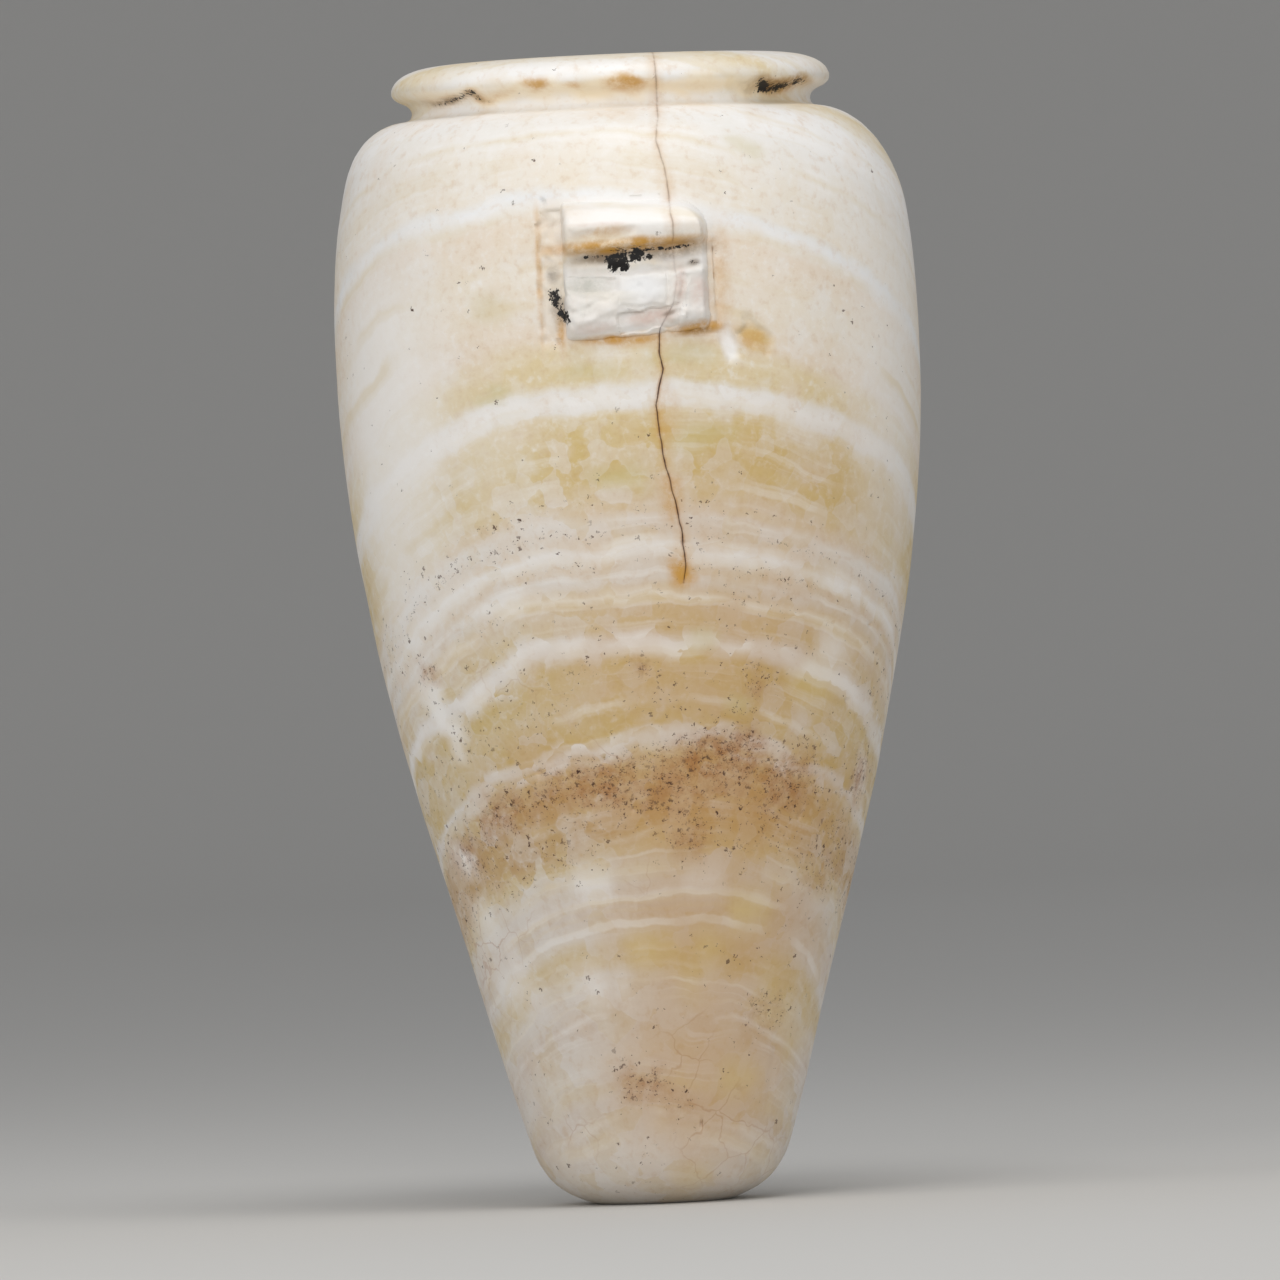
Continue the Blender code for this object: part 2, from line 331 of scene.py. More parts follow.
def sinkSkirt(block):
    # the edges of the lug run into the wall, so that the join leaves no sliver
    for point in block.data.vertices:
        across = math.hypot(point.co.x, point.co.y)
        proud = across - wallRadius(point.co.z)
        short = lugs["skirt"] * mm - proud
        if short > 0:
            sunk = min(short * lugs["skirtSlope"], lugs["skirtDepth"] * mm)
            point.co.x *= 1 - sunk / across
            point.co.y *= 1 - sunk / across


def addCrust(block):
    surface = BVHTree.FromObject(block, bpy.context.evaluated_depsgraph_get())
    for x, z, radius in crustLumps:
        hit = surface.ray_cast(Vector((x * mm, -0.2, z * mm)), Vector((0, 1, 0)))[0]
        bpy.ops.mesh.primitive_ico_sphere_add(
            subdivisions=3, radius=radius * mm, location=hit + Vector((0, radius * mm * 0.35, 0))
        )
        lump = bpy.context.object
        workOn(block)
        lump.select_set(True)
        bpy.ops.object.join()


def breakFace(block):
    # works the broken face in, point by point
    normals = [point.normal.copy() for point in block.data.vertices]
    for point, normal in zip(block.data.vertices, normals):
        x, z = point.co.x / mm, point.co.z / mm
        proud = math.hypot(point.co.x, point.co.y) - wallRadius(point.co.z)
        if proud < lugs["skirt"] * mm:
            continue
        press = sum(pad["out"] * padAt(pad, x, z) for pad in breakPads)
        face = max(-normal.y, 0.0)
        point.co.y -= press * mm * face * smooth(proud / mm)
        corner = lugs["wornCorner"]
        far = math.hypot(max(x - corner["x"], 0.0), max(z - corner["z"], 0.0)) - corner["radius"]
        point.co.y += smooth(far / corner["edge"] + 0.5) * (proud + lugs["margin"] * mm)
        onBreak = smooth((283.0 - z) / 2.0) * 0.8 + 0.2
        for span, height, seed in crystalRoughness:
            point.co += normal * rough(x, z, span, seed) * height * mm * onBreak


# Damage: shallow tool cuts and chips beside the broken lug, the crack and small pits

# Each chip has its middle, half sizes, climb, depth at its left and right, and how ragged it is
chips = (
    {"x": -25.4, "z": 274.4, "wide": 3.8, "tall": 20.4, "turn": 0, "depth": (0.8, 1.0), "ragged": 0.6},
    {"x": 22.9, "z": 271.0, "wide": 1.1, "tall": 17.5, "turn": 0, "depth": (0.8, 0.45), "ragged": 0.3},
    {"x": 25.6, "z": 253.0, "wide": 2.3, "tall": 5.6, "turn": 24, "depth": (0.6, 0.6), "ragged": 0.35},
    {"x": 34.2, "z": 254.6, "wide": 5.6, "tall": 3.2, "turn": -38, "depth": (0.7, 0.35), "ragged": 0.2},
    {"x": -49.5, "z": 117.3, "wide": 1.5, "tall": 1.0, "turn": 30, "depth": (0.7, 0.7), "ragged": 0.4},
    {"x": -36.5, "z": 96.0, "wide": 4.2, "tall": 2.0, "turn": -60, "depth": (0.5, 0.5), "ragged": 0.4},
)
finePatch = {"left": -34.0, "right": 44.0, "low": 244.0, "high": 300.0, "cuts": 2}

# The crack from the lip down past the lug: height and place across
crack = {
    "path": (
        (339.0, 8.4), (336.0, 8.5), (325.0, 8.9), (313.0, 6.9), (304.0, 9.3), (295.0, 9.7),
        (283.0, 10.0), (271.0, 10.4), (264.0, 9.0), (258.0, 5.5), (250.5, 4.7), (246.0, 5.6),
        (235.6, 3.1), (226.7, 4.2), (220.7, 4.7), (210.0, 7.2), (199.6, 9.2), (190.6, 10.1),
        (183.2, 9.6),
    ),
    "step": 1.3,
    "shake": 0.45,
    "shakeSpan": 3.2,
    "width": 0.22,
    "depth": 0.7,
    "shallow": 0.2,  # share of that depth above the lug's foot
    "reach": 20.0,
}
pits = (  # x, z, radius
    (-15.3, 132.6, 0.8), (-2.6, 159.1, 0.6), (13.1, 133.7, 0.6), (-41.9, 118.8, 0.8),
    (-48.9, 117.4, 0.9), (-55.7, 105.5, 0.8), (5.1, 46.8, 0.9), (10.2, 23.6, 0.9),
    (-27.3, 36.0, 0.6), (-6.7, 39.9, 0.6), (-3.3, 34.6, 0.7), (6.8, 20.8, 0.5),
    (31.8, 36.2, 0.6), (49.3, 98.9, 0.7), (66.1, 168.8, 0.6), (42.1, 113.2, 0.6),
    (58.1, 146.8, 0.6), (9.7, 195.0, 0.6), (-34.4, 129.8, 0.8), (-1.8, 160.6, 0.5),
    (-3.6, 158.2, 0.5), (14.6, 121.8, 0.6), (-7.6, 117.6, 0.6), (18.0, 129.4, 0.5),
)
pitMesh = {"margin": 1.2, "cuts": 3, "squash": 0.8}


def refine(thing, wanted, cuts):
    # a finer mesh where the test on a face's middle, in millimetres, says so
    editAll(thing)
    bpy.ops.mesh.select_mode(type="FACE")
    bpy.ops.mesh.select_all(action="DESELECT")
    editOff()
    for face in thing.data.polygons:
        face.select = wanted(face.center / mm)
    bpy.ops.object.mode_set(mode="EDIT")
    bpy.ops.mesh.subdivide(number_cuts=cuts)
    editOff()


def chipDepth(chip, x, z):
    turn = math.radians(chip["turn"])
    right, up = x - chip["x"], z - chip["z"]
    across = (right * math.cos(turn) + up * math.sin(turn)) / chip["wide"]
    along = (up * math.cos(turn) - right * math.sin(turn)) / chip["tall"]
    ragged = chip["ragged"] * (rough(x, z, 3.2, 4) + 0.6 * rough(x, z, 1.3, 5))
    inside = 1 - max(abs(across), abs(along)) + 0.35 * rough(x, z, 2.4, 6)
    if inside < 0:
        return 0.0
    left, rightEnd = chip["depth"]
    depth = left + (rightEnd - left) * (across + 1) / 2 + ragged
    return max(depth, 0.1) * smooth(inside * chip["wide"] / 0.55)


def pressIn(body):
    # chips and pits, as depths towards the axis
    def nearPit(place):
        return place.y < 0 and any(
            math.hypot(place.x - x, place.z - z) < radius + pitMesh["margin"]
            for x, z, radius in pits
        )

    patch = finePatch
    refine(body, lambda place: place.y < 0 and patch["left"] < place.x < patch["right"]
           and patch["low"] < place.z < patch["high"], patch["cuts"])
    refine(body, nearPit, pitMesh["cuts"])
    for point in body.data.vertices:
        x, y, z = point.co / mm
        isInside = math.hypot(x, y) < wallRadius(point.co.z) / mm - 3
        if y > -15 or isInside:
            continue
        depth = max((chipDepth(chip, x, z) for chip in chips), default=0.0)
        for pitX, pitZ, radius in pits:
            far = math.hypot((x - pitX) * pitMesh["squash"], z - pitZ) / radius
            if far < 1:
                depth = max(depth, radius * math.sqrt(1 - far * far))
        point.co.x *= 1 - depth / math.hypot(x, y)
        point.co.y *= 1 - depth / math.hypot(x, y)


def crackPath():
    # the listed points with a fine shake between them
    path = []
    for (high, start), (low, end) in zip(crack["path"], crack["path"][1:]):
        pieces = max(round((high - low) / crack["step"]), 1)
        for piece in range(pieces):
            share = piece / pieces
            z = high + (low - high) * share
            shake = crack["shake"] * noise.noise(Vector((0.5, 0.5, z / crack["shakeSpan"])))
            path.append((start + (end - start) * share + shake, z))
    return path


def makeCrack(surface):
    # a thin blade that stands in the crack
    inner = []
    for x, z in crackPath():
        hit = surface.ray_cast(Vector((x * mm, -0.2, z * mm)), Vector((0, 1, 0)))[0]
        share = crack["shallow"] + (1 - crack["shallow"]) * smooth((264 - z) / 12)
        inner.append(hit + Vector((0, crack["depth"] * share * mm, 0)))
    blade = newMesh("crack", inner, [(i, i + 1) for i in range(len(inner) - 1)])
    editAll(blade)
    bpy.ops.mesh.extrude_edges_move(TRANSFORM_OT_translate={"value": (0, -crack["reach"] * mm, 0)})
    editOff()
    thick = blade.modifiers.new("width", "SOLIDIFY")
    thick.thickness = crack["width"] * mm
    thick.offset = 0.0
    applyAll(blade)
    faceOut(blade)
    return blade


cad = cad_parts["jar"]
body, wall = makeBody(cad)
print("body turned:", len(body.data.polygons), "faces")
pressIn(body)
print("chips and pits pressed in:", len(body.data.polygons), "faces")

frontLug = cutOutLug(cad, "front_lug", -1)
addCrust(frontLug)
remeshLug(frontLug, "front_lug")
breakFace(frontLug)
sinkSkirt(frontLug)
backLug = cutOutLug(cad, "back_lug", 1)
remeshLug(backLug, "back_lug")
sinkSkirt(backLug)
print("lugs:", len(frontLug.data.polygons), len(backLug.data.polygons), "faces")
boolean(body, frontLug, "UNION")
boolean(body, backLug, "UNION")
print("lugs joined:", len(body.data.polygons), "faces")
surface = BVHTree.FromObject(body, bpy.context.evaluated_depsgraph_get())
boolean(body, makeCrack(surface), "DIFFERENCE")
print("crack cut:", len(body.data.polygons), "faces")
workOn(body)
bpy.ops.object.shade_smooth_by_angle(angle=math.radians(jar["sharpFrom"]))


def paint(thing, name, amountAt):
    layer = thing.data.attributes.new(name, "FLOAT", "POINT")
    layer.data.foreach_set("value", [amountAt(point) for point in thing.data.vertices])


def freshBreak(point):
    # 1 on the lower, broken half of the front lug
    x, y, z = point.co / mm
    if y > 0 or abs(x) > lugs["width"] / 2 + 0.6:
        return 0.0
    proud = math.hypot(x, y) - wallRadius(point.co.z) / mm
    return smooth(proud / 0.8) * smooth((279.5 + x * 0.077 - z) / 2.5)


paint(body, "freshBreak", freshBreak)


# Materials

def linear(code):
    # an sRGB hex colour as linear light
    channels = [int(code[i : i + 2], 16) / 255 for i in (1, 3, 5)]
    return [c / 12.92 if c <= 0.04045 else ((c + 0.055) / 1.055) ** 2.4 for c in channels] + [1.0]


def addNode(tree, kind, inputs=(), **settings):
    # adds one node with its settings, its values and its links
    node = tree.nodes.new("ShaderNode" + kind)
    for name, value in settings.items():
        setattr(node, name, value)
    for name, value in dict(inputs).items():
        if isinstance(value, bpy.types.Node):
            value = value.outputs[0]
        if isinstance(value, bpy.types.NodeSocket):
            tree.links.new(value, node.inputs[name])
        else:
            node.inputs[name].default_value = value
    return node


# Travertine (Egyptian alabaster, layered calcite), ground with sand and rubbed to a satin polish:
# milky translucent layers, honey crystals, white chalky bands and rusty dirt in its pores
stoneColours = {
    "chalk": "#F6F3EF",
    "milk": "#EFEBE5",
    "shell": "#E2D6CB",
    "blush": "#EADBC8",
    "cream": "#EDE3D3",
    "wax": "#E3D0A6",
    "honey": "#DAC182",
    "olive": "#CDBF88",
    "sand": "#C9A777",
    "tan": "#C4954F",
    # painted shade: a brown that darkens the lower body, where less light falls
    "paintedShadeBrown": "#8F7048",
    # pale gold of the stain under the lip, made pale as painted light where the lip shades it
    "paleGoldAndPaintedLight": "#FBE6BC",
    "rose": "#DFC8BC",
    "grey": "#C9C7BD",
    "amber": "#CC9638",
    # painted shade in the cord groove, under the lug and in the recess beside it, and a brown halo round
    # the crust at the rim
    "paintedShadeAndHalo": "#6A5132",
    "rust": "#A66C2E",
    "umber": "#4A2A18",
    # black crust; its thin lines along the cord groove's ceiling are also painted shade
    "sootAndPaintedShade": "#0E0A09",
    "frost": "#ECEDEE",
}
# Height of each layer above the foot where the jar's axis crosses it, in millimetres
lowerLayers = (
    (-60, "shell"), (-20, "shell"), (-4, "milk"), (10, "shell"), (20, "milk"), (30, "shell"),
    (40, "milk"), (44, "wax"), (49, "wax"), (53, "milk"), (60, "shell"), (69, "milk"),
    (74, "wax"), (80, "sand"), (92, "sand"), (98, "wax"), (100, "milk"), (102, "milk"),
    (104, "honey"), (112, "wax"), (120, "honey"), (123.5, "chalk"), (128, "chalk"),
    (131, "wax"), (140, "blush"),
)
upperLayers = (
    (140, "blush"), (144, "milk"), (147, "blush"), (150.5, "cream"), (152, "chalk"), (154, "blush"),
    (160, "milk"), (163, "blush"), (168, "wax"), (172, "honey"), (184, "honey"), (189, "wax"),
    (191, "milk"), (194, "chalk"), (197, "milk"), (200, "wax"), (206, "wax"), (212, "blush"),
    (228, "cream"), (244, "blush"), (248, "milk"), (252, "frost"), (256, "cream"), (286, "milk"),
    # the chalk from 292 to 303 is painted light: at the front it lies on the neck just under the lip,
    # made white to lift the lip's shade
    (292, "chalk"), (303, "chalk"), (318, "wax"), (324, "milk"), (346, "cream"), (352, "honey"),
    (357, "milk"), (400, "cream"),
)
layerSlope = 0.52  # how much a layer falls for each millimetre towards the front
# Wavy white lines that stay clear through the stains, by layer
whiteLines = (
    (-60, 0.0), (99, 0.0), (101, 0.4), (103, 0.0), (122.5, 0.0), (124.5, 0.55), (127.5, 0.5),
    (129, 0.0), (138, 0.0), (139.5, 0.35), (141, 0.0), (149, 0.0), (151, 0.6), (153, 0.5),
    (155, 0.0), (159, 0.0), (160.5, 0.3), (162, 0.0), (189, 0.0), (192, 0.25), (196, 0.3),
    (198, 0.0), (246, 0.0), (249.5, 0.2), (252, 0.4), (254.5, 0.0), (400, 0.0),
)
# Density of the dirt specks by layer
speckRows = (
    (-60, 0.03), (70, 0.08), (76, 0.55), (98, 0.55), (101, 0.05), (104, 0.22), (121, 0.22),
    (125, 0.02), (128, 0.02), (130.5, 0.6), (132, 0.1), (138.5, 0.1), (140, 0.9), (141.5, 0.1),
    (147.5, 0.1), (148.5, 0.9), (149.5, 0.05), (156.5, 0.1), (157.5, 0.8), (158.5, 0.1),
    (163, 0.1), (164, 0.6), (165.5, 0.05), (188, 0.01), (210, 0.02),
    (240, 0.02), (250, 0.01), (400, 0.02),
)
# Blots on the front: x, z, half width, half height, climb, strength
blots = {
    "tan": (
        (30, 205, 80, 40, 0, 0.30), (20, 160, 76, 44, 0, 0.50), (20, 118, 64, 36, 0, 0.62),
        (16, 80, 50, 44, 0, 0.60), (12, 40, 44, 44, 0, 0.55), (-30, 128, 30, 24, 20, 0.4),
    ),
    "rose": (
        (2.5, 261.0, 11, 3.6, 5, 0.9), (17.5, 268, 5, 7, 0, 0.75), (11.5, 270, 2.4, 8, -6, 0.9),
        (-12, 289, 12, 1.0, 0, 0.4), (-14, 258.6, 9, 3, 8, 0.5),
    ),
    "grey": (
        (-15, 271, 10, 3.8, -3, 0.9), (-17, 264, 7, 3, 20, 0.4), (10, 284, 12, 4, 3, 0.4),
        (0, 275.6, 26, 1.3, 2, 0.35),
    ),
    "paleGoldAndPaintedLight": (
        # the first, wide band under the lip is a golden stain made pale as painted light, to lift the
        # lip's shade
        (-4, 329.8, 120, 4.2, 0, 0.6), (-10, 284, 14, 4, 4, 0.4), (-3, 276.5, 26, 2.0, 3, 0.3),
    ),
    "brown": (
        (-18, 125, 26, 12, 4, 0.85), (15, 131, 22, 14, 10, 1.0), (26, 133, 14, 12, -20, 0.9),
        (38, 124, 14, 16, -30, 0.8), (6, 122, 30, 9, 0, 0.7), (30, 151, 5, 10, 0, 0.6),
        (61.5, 122, 4, 11, 0, 0.9),
        (9, 108.6, 10, 5, 10, 0.7), (48, 94, 9, 9, -30, 0.6), (-7.7, 36, 13, 7, -15, 0.7),
        (3, 31, 7, 5, 0, 0.5), (-44, 118, 16, 9, 30, 0.8), (-56, 106, 7, 10, 60, 0.7),
        (-65, 161, 4, 6, 0, 0.8), (32, 56, 13, 10, -30, 0.5), (-4, 160, 5, 5, 0, 0.5),
        (-36.7, 31.6, 5, 9, 0, 0.4),
    ),
    "gold": (
        (-2, 282.4, 34, 3.2, 1.5, 1.0), (-6, 255.0, 16, 2.4, 0, 0.9), (16.5, 257.6, 11, 3.0, 4, 1.0),
        (33, 254.0, 10, 5, -30, 0.45), (-29.0, 274, 1.4, 30, 0, 0.38), (-23.4, 257, 1.8, 10, 0, 0.6),
        (-28, 331.4, 6, 2.6, 0, 0.7), (-16, 331.0, 5, 2.0, 0, 0.5), (1, 330.4, 9, 3.2, 0, 0.75),
        (48, 330, 14, 3.8, 0, 0.8), (-46, 329.2, 18, 2.0, 5, 0.4),
        (24, 272, 5, 26, 0, 0.25), (6.6, 208, 5, 10, 0, 0.45), (8.8, 186, 5, 7, 0, 0.9),
        (6, 232, 4, 12, 0, 0.3), (-10, 286.5, 12, 3.0, 6, 0.35),
    ),
    "paintedShadeAndHalo": (
        # mostly painted shade: the dark band in the cord groove, the lines under the lug and the recess
        # at its left; the two at the rim, (-50, 328.6) and (46, 330.2), are a brown halo round the black
        # crust
        (-9, 279.2, 16, 2.8, 4, 0.8), (9, 280.4, 19, 3.2, 4, 0.6), (0, 280.0, 26, 2.2, 4, 0.5),
        (16, 256.4, 9, 1.3, 4, 0.5), (8.0, 262.0, 3.4, 1.0, 15, 0.6), (-3, 262.6, 6, 0.7, 5, 0.4),
        (-50, 328.6, 14, 1.3, 6, 0.7), (46, 330.2, 15, 3.2, 0, 0.7), (16, 276.8, 3.0, 1.6, 10, 0.6),
        (-25, 275, 3.0, 5, 0, 0.5), (-24, 265, 3.2, 8, 0, 0.5),
    ),
    "olive": (
        (32.7, 310.3, 9, 5, -20, 0.4), (-44, 266, 10, 6, 0, 0.35), (-16, 246, 17, 5, 4, 0.4),
        (-45, 239.5, 8, 3.5, 25, 0.7), (-8, 215, 13, 6, 0, 0.55), (16, 226, 15, 7, 0, 0.45),
        (12, 250, 17, 5, 0, 0.4), (14, 166.5, 9, 4, 0, 0.5), (25, 147, 7, 4, 0, 0.4),
    ),
    "honey": (
        (11, 71, 15, 7, 0, 0.7), (35, 58, 13, 11, -35, 0.6), (25, 87, 10, 7, 0, 0.6),
        (-15, 81, 10, 5, 0, 0.5), (41, 46, 9, 11, -30, 0.5), (22, 36, 11, 9, 0, 0.45),
        (33.5, 254.0, 9, 5, -30, 0.9), (-3, 77, 11, 5, 0, 0.5), (7, 8, 9, 7, 0, 0.4),
        (47, 152, 10, 12, -40, 0.4),
    ),
    "chalk": (
        (0, 291, 34, 11, 0, 0.9), (0.3, 269.8, 10, 6.5, 0, 1.0), (-46, 69, 9, 15, 60, 0.7),
        (-19, 63.6, 13, 6, 0, 0.6), (11, 62, 11, 4, 0, 0.5), (-56, 104, 4, 14, 50, 0.9),
        (-45, 178, 15, 5, 20, 0.6), (54, 162, 9, 9, -40, 0.5), (-21, 97, 9, 6, 0, 0.6),
        (12, 95, 12, 4, 0, 0.25), (-62, 148, 5, 24, 25, 0.8), (-51, 86, 4, 20, 38, 0.7),
        (25.6, 252, 3.2, 9, 15, 1.0),
        # the blots at (-76, 225) and (79, 235) make the stone paler towards both flanks, more so on the
        # left
        (62, 118, 3, 22, 0, 0.6), (-76, 225, 30, 100, 0, 0.8),
        (79, 235, 25, 84, 0, 0.55), (-50, 222, 30, 24, 20, 0.35),
    ),
    "sootAndPaintedShade": (
        (-6.2, 277.9, 5.6, 5.2, 0, 1.0), (-0.6, 279.5, 4.2, 3.6, 10, 1.0),
        (-4.6, 275.8, 2.4, 2.2, 0, 0.8), (2.4, 278.8, 2.4, 1.8, 0, 0.7),
        (41.0, 329.4, 5.0, 2.6, 0, 0.95), (46.5, 329.4, 5.0, 2.2, 0, 0.75), (52, 329.2, 4.4, 2.0, 0, 0.7),
        (-24.8, 268.2, 2.6, 4.4, 0, 0.85), (-22.7, 262.8, 2.4, 4.6, 25, 0.9),
        # the thin lines at (8, 281.2) and (-12, 279.6) darken the groove's ceiling: partly crust, partly
        # painted shade
        (8, 281.2, 12, 1.0, 4, 0.62), (-12, 279.6, 9, 1.0, 4, 0.58), (15.8, 276.8, 2.2, 1.4, 0, 0.62),
        (-47, 329.0, 12, 1.2, 8, 0.6),
    ),
}
patternSizes = {  # of the noises and cells in the stone, in millimetres
    "push": 5.5,
    "crystals": 7.5,
    "bigWaves": 58.0,
    "smallWaves": 15.0,
    "clouds": 13.0,
    "grain": 2.8,
    "regions": 22.0,
    "grime": 5.0,
    "hairlines": 13.0,
    "hairRegions": 30.0,
    "crust": 1.3,
    "pores": 1.8,
}
blotPush = 2.6  # how far a noise pushes the edge of a blot
nearLug = {"side": 40.0, "low": 248.0, "high": 300.0, "push": 0.7}  # the blots are finer there


def makeRamp(tree, value, low, high, stops):
    # a colour ramp over heights between low and high
    share = addNode(tree, "MapRange", {"Value": value, "From Min": low, "From Max": high})
    ramp = addNode(tree, "ValToRGB", {"Fac": share})
    bar = ramp.color_ramp.elements  # a move sorts the stops, so they are coloured last
    while len(bar) < len(stops):
        bar.new(0.5)
    for step, (height, tone) in zip(bar, stops):
        step.position = (height - low) / (high - low)
    for step, (height, tone) in zip(bar, stops):
        step.color = linear(stoneColours[tone]) if isinstance(tone, str) else (tone, tone, tone, 1)
    return ramp


def blotAt(marks, place):
    # the strongest of a few soft blots at a place on the front
    strongest = 0.0
    for x, z, wide, tall, climb, strength in marks:
        right, up = place[0] - x, place[2] - z
        if abs(right) > wide + tall or abs(up) > wide + tall:
            continue
        turn = math.radians(climb)
        across = (right * math.cos(turn) + up * math.sin(turn)) / wide
        along = (up * math.cos(turn) - right * math.sin(turn)) / tall
        near = (1 - math.hypot(across, along)) / 0.8
        strongest = max(strongest, smooth(near) * strength)
    return strongest


def paintBlots(thing):
    # the edges of the blots are pushed about by a noise, and they fade away round the flanks
    places = []
    for point in thing.data.vertices:
        x, y, z = point.co / mm
        isNear = abs(x) < nearLug["side"] and nearLug["low"] < z < nearLug["high"]
        size = nearLug["push"] if isNear else blotPush
        pushX = size * rough(x, z, 6.0, 11)
        pushZ = size * rough(x, z, 6.0, 12)
        places.append((x + pushX, y, z + pushZ))
    for name, marks in blots.items():
        layer = thing.data.attributes.new(name, "FLOAT", "POINT")
        values = []
        for place in places:
            front = smooth((-place[1] - 6) / 30)
            values.append(front * blotAt(marks, place) if front > 0 else 0.0)
        layer.data.foreach_set("value", values)


def mixColour(tree, below, above, amount):
    # lays one colour over another; the amount is a number or a link
    mix = addNode(tree, "Mix", {0: amount, 6: below, 7: above}, data_type="RGBA")
    return mix.outputs[2]


def makeTravertine():
    stone = bpy.data.materials.new("travertineGroundAndRubbed")
    stone.use_nodes = True
    tree = stone.node_tree
    tree.nodes.clear()
    colour = {name: linear(code) for name, code in stoneColours.items()}

    size = patternSizes
    coordinates = addNode(tree, "TexCoord")
    point = addNode(tree, "VectorMath", {0: coordinates.outputs["Object"], "Scale": 1 / mm},
                    operation="SCALE")
    axis = addNode(tree, "SeparateXYZ", {0: point})

    # points pushed about a little, so that blots and crystals have natural edges
    push = addNode(tree, "TexNoise", {"Vector": point, "Scale": 1 / size["push"],
                                      "Detail": 2.0})
    push = addNode(tree, "VectorMath", {0: push.outputs["Color"], 1: (0.5, 0.5, 0.5)},
                   operation="SUBTRACT")
    push = addNode(tree, "VectorMath", {0: push, "Scale": 5.0}, operation="SCALE")
    pushed = addNode(tree, "VectorMath", {0: point, 1: push}, operation="ADD")

    # calcite crystals, 7 to 8 mm across, each with a tone and a height of its own
    crystal = addNode(tree, "TexVoronoi", {"Vector": pushed, "Scale": 1 / size["crystals"]})
    chance = addNode(tree, "SeparateColor", {0: crystal.outputs["Color"]})
    seam = addNode(tree, "TexVoronoi", {"Vector": pushed, "Scale": 1 / size["crystals"]},
                   feature="DISTANCE_TO_EDGE")

    # height in the layers: they fall towards the front and, near the top, to the right
    level = addNode(tree, "VectorMath", {0: point, 1: (0.0, layerSlope, 1.0)},
                    operation="DOT_PRODUCT").outputs["Value"]
    slant = addNode(tree, "MapRange", {"Value": level, "From Min": 200.0, "From Max": 250.0,
                                       "To Max": 0.15})
    height = addNode(tree, "Math", {0: axis.outputs["X"], 1: slant, 2: level},
                     operation="MULTIPLY_ADD")
    for name, detail, swing in (("bigWaves", 1.0, 11.0), ("smallWaves", 4.0, 6.0)):
        wave = addNode(tree, "TexNoise", {"Vector": point, "Scale": 1 / size[name],
                                          "Detail": detail})
        wave = addNode(tree, "Math", {0: wave, 1: 0.5}, operation="SUBTRACT")
        height = addNode(tree, "Math", {0: wave, 1: swing, 2: height}, operation="MULTIPLY_ADD")
    smoothHeight = height
    stepSize = addNode(tree, "MapRange", {"Value": level, "From Min": 160.0, "From Max": 118.0,
                                          "To Min": 1.0, "To Max": 3.2})
    step = addNode(tree, "Math", {0: chance.outputs["Red"], 1: 0.5}, operation="SUBTRACT")
    height = addNode(tree, "Math", {0: step, 1: stepSize, 2: height}, operation="MULTIPLY_ADD")

    lower = makeRamp(tree, height, -60.0, 140.0, lowerLayers)
    upper = makeRamp(tree, height, 140.0, 400.0, upperLayers)
    isUpper = addNode(tree, "Math", {0: height, 1: 140.0}, operation="GREATER_THAN")
    look = mixColour(tree, lower, upper, isUpper)

    # tone of each crystal, strongest in the lower two thirds
    inCrystals = addNode(tree, "MapRange", {"Value": level, "From Min": 215.0, "From Max": 165.0,
                                            "To Min": 0.25, "To Max": 1.0})
    for start, end, tone, amount in ((0.55, 0.95, "honey", 0.3), (0.45, 0.05, "milk", 0.5)):
        tint = addNode(tree, "MapRange", {"Value": chance.outputs["Green"], "From Min": start,
                                          "From Max": end, "To Max": amount})
        tint = addNode(tree, "Math", {0: tint, 1: inCrystals}, operation="MULTIPLY")
        look = mixColour(tree, look, colour[tone], tint)
    pale = addNode(tree, "MapRange", {"Value": seam.outputs["Distance"], "From Min": 0.06,
                                      "From Max": 0.0, "To Max": 0.16})
    pale = addNode(tree, "Math", {0: pale, 1: inCrystals}, operation="MULTIPLY")
    look = mixColour(tree, look, colour["milk"], pale)

    # clouded patches
    cloud = addNode(tree, "TexNoise", {"Vector": pushed, "Scale": 1 / size["clouds"],
                                       "Detail": 3.0})
    grain = addNode(tree, "TexNoise", {"Vector": point, "Scale": 1 / size["grain"],
                                       "Detail": 3.0, "Roughness": 0.6})
    for field, tone, start, end, amount in (
        (cloud, "blush", 0.5, 0.72, 0.5), (cloud, "milk", 0.48, 0.3, 0.5),
        (grain, "tan", 0.46, 0.28, 0.22), (grain, "chalk", 0.54, 0.72, 0.4),
    ):
        part = addNode(tree, "MapRange", {"Value": field, "From Min": start, "From Max": end,
                                          "To Max": amount})
        look = mixColour(tree, look, colour[tone], part)
    # painted shade: the stone gets darker towards the bottom, standing in for the lower body getting less
    # light
    lowerBodyPaintedShade = addNode(tree, "MapRange", {"Value": level, "From Min": 235.0, "From Max": 110.0,
                                      "To Max": 0.24})
    look = mixColour(tree, look, colour["paintedShadeBrown"], lowerBodyPaintedShade)

    masks = {}
    for name in blots:
        mask = addNode(tree, "Attribute", attribute_name=name, attribute_type="GEOMETRY")
        masks[name] = mask.outputs["Fac"]
    look = mixColour(tree, look, colour["tan"], masks["tan"])
    look = mixColour(tree, look, colour["olive"], masks["olive"])
    look = mixColour(tree, look, colour["honey"], masks["honey"])
    look = mixColour(tree, look, colour["chalk"], masks["chalk"])
    # the band under the lip is a golden stain made pale as painted light
    look = mixColour(tree, look, colour["paleGoldAndPaintedLight"], masks["paleGoldAndPaintedLight"])

